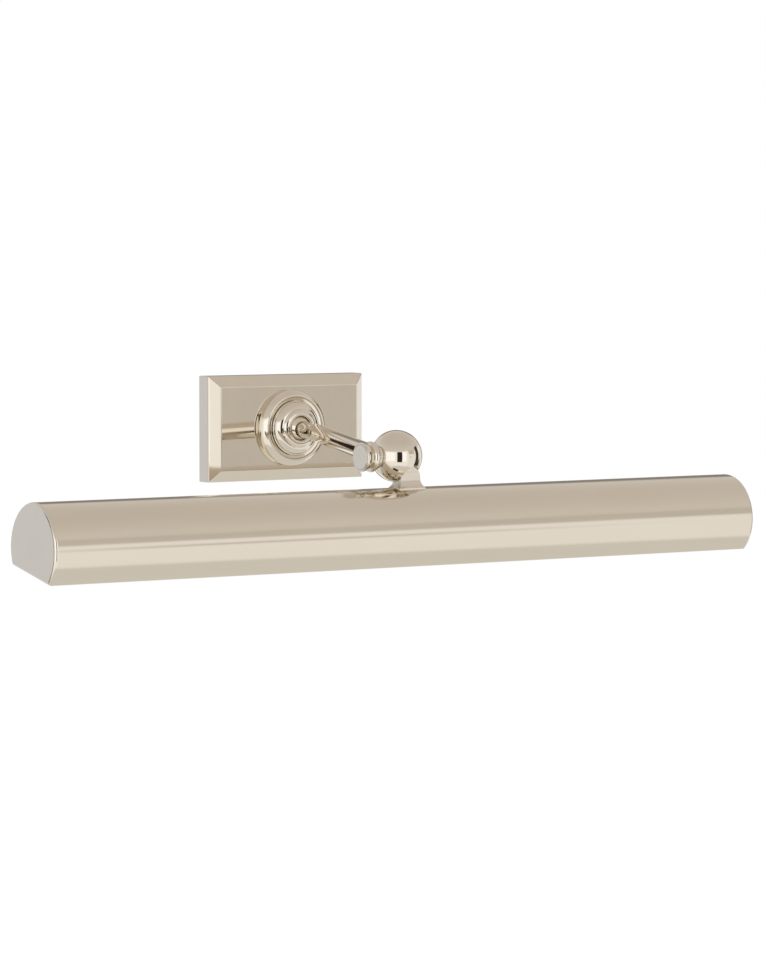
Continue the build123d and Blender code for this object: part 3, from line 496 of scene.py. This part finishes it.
def make_shade():
    """Rolled sheet, nickel outside and white enamel inside."""
    steps, half = 160, SHADE_HALF - CAP_THICKNESS
    outer, inner = shade_arc(SHADE_RADIUS, steps), shade_arc(SHADE_RADIUS - SHADE_WALL, steps)
    section = outer + inner[::-1]
    stations = [-half + 2 * half * k / 24 for k in range(25)]
    loops = [[(x, y, z) for y, z in section] for x in stations]
    shell = prism("shade_shell_rolled", loops, SHADE_PLACE @ Matrix.Scale(MM, 4))
    finish_piece(shell, "shade", ["shade_shell"], "shade_finish", extra=["white_enamel"])
    axis = SHADE_PLACE @ Vector((0, 0, 0))
    inside_limit = (SHADE_RADIUS - SHADE_WALL * 0.75) * MM
    for face in shell.data.polygons:
        reach = face.center - axis
        reach.x = 0
        if reach.length < inside_limit and abs(face.normal.x) < 0.5:
            face.material_index = 1
    shade_smoothly(shell)


def cap_loop(radius, x):
    """D-shaped outline of an end cap."""
    chord = -SHADE_RADIUS * math.cos(math.radians(OPENING_HALF_ANGLE)) + (SHADE_RADIUS - radius)
    edge = math.degrees(math.asin(-chord / radius))
    first, last, steps = -edge, 180 + edge, 144
    angles = [math.radians(first + (last - first) * k / steps) for k in range(steps + 1)]
    round_part = [(x, radius * math.cos(angle), radius * math.sin(angle)) for angle in angles]
    (_, y0, z0), (_, y1, _) = round_part[-1], round_part[0]
    flat = [(x, y0 + (y1 - y0) * k / 24, z0) for k in range(1, 24)]
    return round_part + flat


def make_end_cap(side, name):
    """Pressed cap with a rounded rim, hollow and enamelled behind."""
    radius, rim, wall = SHADE_RADIUS, 2.4, 1.2
    inner, outer = SHADE_HALF - CAP_THICKNESS, SHADE_HALF
    hollow = radius - 2 * wall
    levels = [(hollow, outer - wall), (hollow, inner), (radius, inner), (radius, outer - rim)]
    for degrees in range(9, 91, 9):
        angle = math.radians(degrees)
        levels.append((radius - rim + rim * math.cos(angle), outer - rim + rim * math.sin(angle)))
    levels += [(radius - rim - 0.6, outer), (radius - 6, outer)]
    loops = [cap_loop(r, side * x) for r, x in levels]
    cap = prism(f"{name}_pressed", loops, SHADE_PLACE @ Matrix.Scale(MM, 4))
    finish_piece(shade_smoothly(cap), "shade", [name], "shade_finish", extra=["white_enamel"])
    for face in cap.data.polygons:
        if face.normal.x * side < -0.9:
            face.material_index = 1


# ---------------------------------------------------------------- lamps
def lamp_place(side_name):
    """Point on the lamp's axis at the middle of the shade, and the direction out to that end."""
    low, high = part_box(f"lamp_glass_{side_name}")
    middle = (low + high) / 2
    return Vector((0, middle.y, middle.z)), ALONG_X * (1 if side_name == "right" else -1)


def thread(outer, root, low, pitch, rounds):
    """Rolled rounds of a screw cap."""
    moves, x = [], low
    for _ in range(rounds):
        moves.append(((outer, x + pitch / 2), (root, x + pitch)))
        x += pitch
    return moves


def make_lamp(side_name):
    """Tubular glass, screw cap and filament."""
    origin, direction = lamp_place(side_name)
    tip, shoulder, neck, outer, wall = 132.0, 232.0, 251.0, 16.0, 0.8
    inner, dome, slant = outer - wall, tip + outer, math.sqrt(0.5)
    glass = outline(
        (0, tip), ((outer * slant, dome - outer * slant), (outer, dome)), (outer, (dome + shoulder) / 2),
        (outer, shoulder), ((outer - 1.0, shoulder + 6), (11.7, neck - 4)), (11.7, neck), (10.9, neck),
        (10.9, neck - 4), ((inner - 1.0, shoulder + 6), (inner, shoulder)), (inner, (dome + shoulder) / 2),
        (inner, dome), ((inner * slant, dome - inner * slant), (0, tip + wall)))
    piece = lathe(f"lamp_glass_{side_name}_blown", glass, origin, direction, steps=96)
    finish_piece(shade_smoothly(piece), "shade", [f"lamp_glass_{side_name}"], "lamp_glass")
    base = outline(
        (12.0, 247.0), (12.6, 247.0, 0.2), (12.6, 249.5), *thread(13.05, 12.6, 249.5, 3.6, 5), (12.6, 269.0),
        (8.0, 273.0), (5.0, 274.2), (4.6, 276.2), ((4.1, 276.8), (2.6, 277.0)), (0, 277.0), (0, 272.0),
        (7.0, 271.0), (11.8, 267.5), (11.8, 251.5))
    piece = lathe(f"lamp_base_{side_name}_rolled", base, origin, direction, steps=96)
    finish_piece(shade_smoothly(piece), "shade", [f"lamp_base_{side_name}"], "lamp_base_metal")
    make_filament(side_name, origin, direction)


def wire(name, points, radius, sides=8):
    """Round wire through points, as a mesh."""
    vertices, faces, count = [], [], len(points)
    for index, point in enumerate(points):
        ahead = points[min(index + 1, count - 1)] - points[max(index - 1, 0)]
        turn = ahead.normalized().to_track_quat("Z", "Y").to_matrix()
        for k in range(sides):
            angle = 2 * math.pi * k / sides
            vertices.append(point + turn @ Vector((radius * math.cos(angle), radius * math.sin(angle), 0)))
    for index in range(count - 1):
        a, b = index * sides, (index + 1) * sides
        faces += [(a + k, a + (k + 1) % sides, b + (k + 1) % sides, b + k) for k in range(sides)]
    faces += [tuple(range(sides)), tuple(range((count - 1) * sides, count * sides))]
    return new_object(name, vertices, faces)


def joined(name, pieces):
    """One object from several meshes."""
    work = bmesh.new()
    for piece in pieces:
        work.from_mesh(piece.data)
        bpy.data.objects.remove(piece)
    mesh = bpy.data.meshes.new(name)
    work.to_mesh(mesh)
    work.free()
    result = bpy.data.objects.new(name, mesh)
    bpy.context.scene.collection.objects.link(result)
    return result


def make_filament(side_name, origin, direction):
    """Glass foot, two support wires and a coiled filament between them."""
    foot = outline(
        (0, 226), (1.4, 226.3), (2.2, 228), (2.6, 240), (6.5, 247), (10.8, 249), (10.8, 250.2), (0, 250.2))
    glass = lathe(f"lamp_foot_{side_name}", foot, origin, direction, steps=48)
    finish_piece(shade_smoothly(glass), "shade", [], "lamp_glass")
    place = along(origin, direction)
    up = place.to_3x3().inverted() @ (SHADE_PLACE.to_3x3() @ Vector((0, 0, 1)))
    up = Vector((up.x, up.y, 0)).normalized()
    sideways = up.cross(Vector((0, 0, 1)))

    def at(height, distance):
        return place @ (up * height + Vector((0, 0, distance)))

    start, end, height = 147.5, 218.0, -3.2
    long_support = [at(1.2, 230), at(1.6, 224), at(3.6, 214), at(3.6, 160), at(3.4, 149), at(0, 146.5),
                    at(height, start)]
    short_support = [at(-1.2, 230), at(-1.8, 224), at(height, end)]
    turns, per_turn, coil_radius = 60, 8, 0.7
    coil = []
    for step in range(turns * per_turn + 1):
        angle = 2 * math.pi * step / per_turn
        distance = start + (end - start) * step / (turns * per_turn)
        round_axis = up * (height + coil_radius * math.cos(angle)) + sideways * coil_radius * math.sin(angle)
        coil.append(place @ (round_axis + Vector((0, 0, distance))))
    support_radius, coil_wire_radius = 0.45 * MM, 0.16 * MM
    parts = [wire("long_support", long_support, support_radius),
             wire("short_support", short_support, support_radius),
             wire("coil", coil, coil_wire_radius, 6)]
    piece = joined(f"filament_{side_name}_coiled", parts)
    finish_piece(shade_smoothly(piece), "shade", [f"filament_{side_name}"], "filament")


def make_lampholder(side_name):
    """Glazed holder round the lamp's cap."""
    origin, direction = lamp_place(side_name)
    mouth, back, radius = 246.0, 284.0, 17.0
    profile = outline(
        (14.2, mouth + 0.4), (14.6, mouth, 0.15), (radius - 0.4, mouth, 0.5),
        (radius - 0.4, mouth + 6.4, 0.3), (radius, mouth + 7.2, 0.4), (radius, back - 9.5, 1.2),
        (radius - 2.5, back - 5, 1.5), (radius - 2.5, back, 0.8), (0, back), (0, back - 6), (14.2, back - 6))
    piece = lathe(f"lampholder_{side_name}_glazed", profile, origin, direction, steps=96)
    finish_piece(shade_smoothly(piece), "shade", [f"lampholder_{side_name}"], "porcelain")


# ---------------------------------------------------------------- carried-over nodes
def dress_cad_nodes():
    """Give every node its procedural material; small hidden hardware keeps its CAD shape."""
    slots = {entry["node"]: entry["material_slot"] for entry in frame["record"]["subparts"]}
    for name, node in nodes.items():
        for slot in node.material_slots:
            slot.material = MATERIALS[slots[name]]


# ---------------------------------------------------------------- studio
def make_stage():
    """Plain pale floor, well below the light and kept out of its reflections."""
    drop, reach = 0.36, 3.4
    floor_z = cad_box[0][2] - drop
    corners = [(-reach, -reach, floor_z), (reach, -reach, floor_z),
               (reach, reach, floor_z), (-reach, reach, floor_z)]
    floor = new_object("floor", corners, [(0, 1, 2, 3)])
    paint = surface("floor_paint", (0.90, 0.90, 0.895), 0.9, tint=0.004, rough_spread=0.02, grain=30,
                    bump=0.02)
    floor.data.materials.append(paint)
    floor.visible_glossy = False


def world_sum(tree, kind, a, b=None, clamp=False):
    """One step of arithmetic in the world's nodes."""
    node = tree.nodes.new("ShaderNodeMath")
    node.operation, node.use_clamp = kind, clamp
    for index, value in enumerate((a, b)):
        if value is None:
            continue
        if isinstance(value, (int, float)):
            node.inputs[index].default_value = value
        else:
            tree.links.new(value, node.inputs[index])
    return node.outputs[0]


def band(tree, value, low, high, soft):
    """1 between two limits, falling to 0 over a soft edge."""
    rise = world_sum(tree, "MULTIPLY", world_sum(tree, "SUBTRACT", value, low - soft / 2), 1 / soft, True)
    fall = world_sum(tree, "MULTIPLY", world_sum(tree, "SUBTRACT", high + soft / 2, value), 1 / soft, True)
    return world_sum(tree, "MULTIPLY", rise, fall)


# Colours of the room that the metal reflects.
BELOW, BRIGHT = (0.78, 0.77, 0.735), (1.0, 0.998, 0.988)
CEILING, ZENITH = (0.745, 0.705, 0.668), (0.665, 0.62, 0.58)
DUSK, LAMPLIT = (0.645, 0.608, 0.568), (1.34, 1.38, 1.46)

# Screens round the object, each laid over those before it: first and last azimuth from the camera's side in
# degrees, lowest and highest sine of elevation, softness of the edge, and colour.
SCREENS = [
    (-175, -82, -0.6, 0.6, 0.10, (0.74, 0.765, 0.815)),
    (-62, 56, -0.66, 0.37, 0.08, (1.12, 1.11, 1.09)),
    (-46, -6, -0.34, 0.31, 0.10, LAMPLIT),
    (22, 46, -0.34, 0.31, 0.10, LAMPLIT),
    (59, 88, 0.13, 0.35, 0.03, DUSK),
    (63.0, 69.0, -0.085, -0.012, 0.015, DUSK),
    (146, 214, -0.12, 0.29, 0.10, DUSK),
    (160, 200, -0.40, 0.46, 0.10, (0.27, 0.25, 0.23)),
    (97, 117, -0.48, 0.42, 0.04, (0.06, 0.05, 0.04)),
    (-97, -80, -0.55, 0.45, 0.04, (0.05, 0.042, 0.035)),
    (4, 27, -0.42, 0.34, 0.03, (0.035, 0.028, 0.022)),
]


def make_world(view_azimuth):
    """Plain white to the camera; in reflections a room shaded by height, with the screens laid over it."""
    world = bpy.data.worlds.new("studio")
    bpy.context.scene.world = world
    world.use_nodes = True
    tree = world.node_tree
    tree.nodes.clear()
    place = tree.nodes.new("ShaderNodeTexCoord")
    split = tree.nodes.new("ShaderNodeSeparateXYZ")
    tree.links.new(place.outputs["Generated"], split.inputs[0])
    x, y, z = split.outputs
    ramp = tree.nodes.new("ShaderNodeValToRGB")
    stops = [(-1.0, BELOW), (-0.66, BELOW), (-0.60, BRIGHT), (0.25, BRIGHT), (0.32, CEILING),
             (0.5, CEILING), (0.85, ZENITH)]
    elements = ramp.color_ramp.elements
    while len(elements) < len(stops):
        elements.new(1.0)
    for element, (height, colour) in zip(elements, stops):
        element.position = (height + 1) / 2
        element.color = (*colour, 1)
    tree.links.new(world_sum(tree, "MULTIPLY", world_sum(tree, "ADD", z, 1.0), 0.5), ramp.inputs["Fac"])
    azimuth = world_sum(tree, "ARCTAN2", x, world_sum(tree, "MULTIPLY", y, -1.0))
    turned = world_sum(tree, "SUBTRACT", azimuth, view_azimuth)
    colour = ramp.outputs["Color"]
    for start, end, low, high, soft, shade in SCREENS:
        mask = world_sum(tree, "MULTIPLY", band(tree, turned, math.radians(start), math.radians(end), soft),
                         band(tree, z, low, high, soft))
        layer = tree.nodes.new("ShaderNodeMixRGB")
        layer.inputs["Color2"].default_value = (*shade, 1)
        tree.links.new(mask, layer.inputs["Fac"])
        tree.links.new(colour, layer.inputs["Color1"])
        colour = layer.outputs["Color"]
    studio, plain = tree.nodes.new("ShaderNodeBackground"), tree.nodes.new("ShaderNodeBackground")
    tree.links.new(colour, studio.inputs["Color"])
    plain.inputs["Color"].default_value = (1.0, 1.0, 1.0, 1)
    rays, mix = tree.nodes.new("ShaderNodeLightPath"), tree.nodes.new("ShaderNodeMixShader")
    tree.links.new(rays.outputs["Is Camera Ray"], mix.inputs["Fac"])
    tree.links.new(studio.outputs[0], mix.inputs[1])
    tree.links.new(plain.outputs[0], mix.inputs[2])
    out = tree.nodes.new("ShaderNodeOutputWorld")
    tree.links.new(mix.outputs[0], out.inputs["Surface"])


def make_lights():
    """One broad overhead sun that lights the floor and the enamel, unseen in the metal."""
    sun = bpy.data.lights.new("overhead", "SUN")
    sun.energy, sun.angle = 2.3, math.radians(50)
    lamp = bpy.data.objects.new("overhead", sun)
    lamp.rotation_euler = (math.radians(18), math.radians(-14), 0)
    lamp.visible_glossy = False
    bpy.context.scene.collection.objects.link(lamp)


def make_camera():
    """Long lens from the left and slightly above. Returns the azimuth of the camera's side."""
    place = Vector((-1662.3, -2642.5, 144.5)) * MM
    look = Vector((0.5533, 0.8309, -0.0593))
    data = bpy.data.cameras.new("camera")
    data.sensor_fit, data.sensor_width, data.lens = "HORIZONTAL", 36.0, 192.35
    data.clip_end = 60.0
    camera = bpy.data.objects.new("camera", data)
    camera.location = place
    camera.rotation_euler = look.to_track_quat("-Z", "Y").to_euler()
    bpy.context.scene.collection.objects.link(camera)
    bpy.context.scene.camera = camera
    return math.atan2(-look.x, look.y)


bpy.context.scene.view_settings.view_transform = "Standard"
dress_cad_nodes()
make_backplate()
make_rosette()
make_swivel_ball()
make_arm()
make_barrel()
make_ball()
make_lug()
make_shade()
for side_name, side in (("right", 1), ("left", -1)):
    make_end_cap(side, f"end_cap_{side_name}")
    make_lamp(side_name)
    make_lampholder(side_name)
make_stage()
make_world(make_camera())
make_lights()
